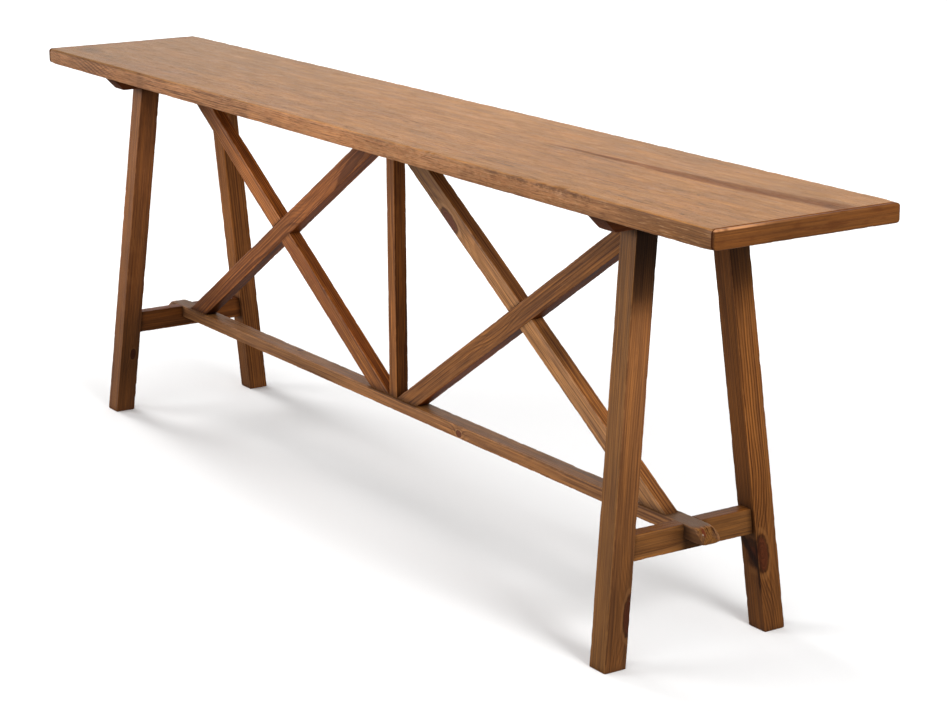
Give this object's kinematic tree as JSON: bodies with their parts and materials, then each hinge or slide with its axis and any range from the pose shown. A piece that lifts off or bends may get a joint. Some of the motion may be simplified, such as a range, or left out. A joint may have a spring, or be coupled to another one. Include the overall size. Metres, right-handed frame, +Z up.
{
  "type": "console table",
  "caption": "Long narrow trestle console table in stained pine: thick slab top, splayed square legs, a low stretcher frame, and cross-braced bays either side of a central post.",
  "frame": {"origin": "on the floor, under the middle of the top", "axes": "+X along the table's length, +Y across it towards the back, +Z up"},
  "size_m": [2.452, 0.3898, 0.8],
  "materials": {
    "top_pine": "waxed, light brown stain, satin",
    "lipping_pine": "waxed, brown stain, satin",
    "leg_pine": "waxed, dark brown stain, satin",
    "frame_pine": "waxed, dark brown stain, satin",
    "brace_pine": "waxed, dark brown stain, satin",
    "screw_steel": "zinc plated",
    "dowel_beech": "bare"
  },
  "bodies": {
    "root": {"top_slab": "top_pine", "end_lipping_left": "lipping_pine", "end_lipping_right": "lipping_pine", "cleat_left": "frame_pine", "cleat_right": "frame_pine", "top_rail": "frame_pine", "leg_front_left": "leg_pine", "leg_front_right": "leg_pine", "leg_back_left": "leg_pine", "leg_back_right": "leg_pine", "cross_stretcher_left": "frame_pine", "cross_stretcher_right": "frame_pine", "long_stretcher": "frame_pine", "center_post": "brace_pine", "brace_left_rising": "brace_pine", "brace_left_falling": "brace_pine", "brace_right_rising": "brace_pine", "brace_right_falling": "brace_pine", "leg_screws": "screw_steel", "cleat_to_top_screws": "screw_steel", "rail_to_top_screws": "screw_steel", "brace_foot_screws": "screw_steel", "brace_head_screws": "screw_steel", "brace_lap_screws": "screw_steel", "stretcher_screws": "screw_steel", "rail_end_dowels": "dowel_beech", "post_dowels": "dowel_beech"}
  },
  "joints": []
}
